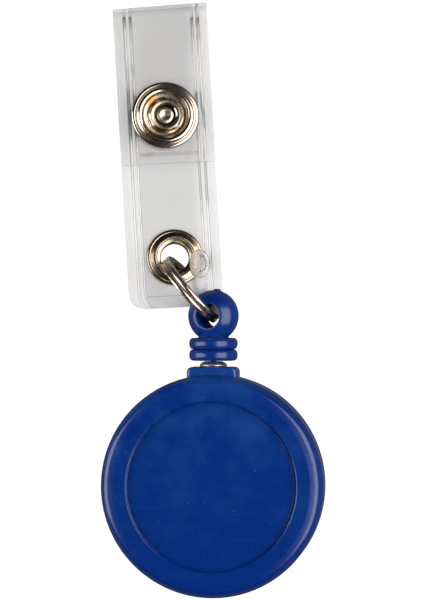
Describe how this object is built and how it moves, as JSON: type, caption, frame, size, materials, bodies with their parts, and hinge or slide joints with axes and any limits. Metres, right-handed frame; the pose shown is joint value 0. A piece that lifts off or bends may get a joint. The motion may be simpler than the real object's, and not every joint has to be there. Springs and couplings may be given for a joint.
{
  "type": "retractable badge reel",
  "caption": "Round retractable badge reel with a belt clip, a pull cord and stopper, a split ring, and a clear vinyl strap closed by a snap fastener.",
  "frame": {"origin": "centre of the belt clip tongue's outer face, on the reel's axis", "axes": "+Z out through the reel's front face along the spool's axis, +Y the way the cord is pulled, X across the reel"},
  "size_m": [0.032, 0.086, 0.013],
  "materials": {
    "blue_moulding": "satin, translucent at thin edges",
    "white_moulding": "natural acetal",
    "nickel": "bright nickel plate",
    "brass": "pressed, lightly polished",
    "spring_steel": "rolled strip, plated",
    "clear_vinyl": "clear, soft, embossed along its edges",
    "clear_plastic": "clear and polished",
    "blue_cord": "braided nylon"
  },
  "bodies": {
    "case": {"front_cover": "blue_moulding", "back_cover": "blue_moulding", "cord_eyelet": "nickel", "belt_clip_leg": "spring_steel", "clip_rivet": "nickel"},
    "clip_tongue": {"belt_clip_tongue": "spring_steel"},
    "spool": {"spool": "white_moulding", "spring_cover": "white_moulding", "cord_winding": "blue_cord", "mainspring": "spring_steel"},
    "cord_end": {"cord_run": "blue_cord", "cord_knot": "blue_cord"},
    "stopper": {"stopper": "blue_moulding"},
    "ring": {"split_ring": "nickel"},
    "strap": {"strap_back": "clear_vinyl", "grommet_eyelet": "nickel", "grommet_washer": "nickel", "strap_button": "clear_plastic", "snap_stud": "brass", "snap_back_cap": "nickel"},
    "flap": {"strap_flap": "clear_vinyl", "snap_front_ring": "nickel", "snap_socket": "nickel"}
  },
  "joints": [
    {"name": "cord_pull", "type": "slide", "parent": "case", "child": "cord_end", "axis": [0, 1, 0], "range_m": [0, 0.76], "stiffness_N_per_m": 1.3, "springref_m": -0.76, "deforming": ["cord_run"]},
    {"name": "spool_spin", "type": "hinge", "parent": "case", "child": "spool", "pos_m": [0, 0, 0.00785], "axis": [0, 0, -1], "range_deg": [0, 3860], "deforming": ["mainspring"]},
    {"name": "stopper_swivel", "type": "hinge", "parent": "cord_end", "child": "stopper", "pos_m": [0, 0.02444, 0.00785], "axis": [0, 1, 0], "continuous": true},
    {"name": "ring_swing", "type": "hinge", "parent": "stopper", "child": "ring", "pos_m": [0, 0.02444, 0.00785], "axis": [-0.2588, 0, 0.9659], "range_deg": [-25, 25]},
    {"name": "strap_turn", "type": "hinge", "parent": "ring", "child": "strap", "pos_m": [-0.00323, 0.02826, 0.00706], "axis": [0.7557, 0.6503, 0.0782], "range_deg": [0, 60]},
    {"name": "flap_open", "type": "hinge", "parent": "strap", "child": "flap", "pos_m": [-0.0082, 0.06964, 0.00238], "axis": [-0.9865, -0.0517, 0.1557], "range_deg": [0, 150]},
    {"name": "clip_flex", "type": "hinge", "parent": "case", "child": "clip_tongue", "pos_m": [0, -0.0142, 0.0018], "axis": [-1, 0, 0], "range_deg": [0, 12], "stiffness_Nm_per_rad": 0.1, "springref_deg": -5.73}
  ],
  "couplings": [
    {"joint": "spool_spin", "follows": "cord_pull", "rad_per_m": 88.5}
  ]
}
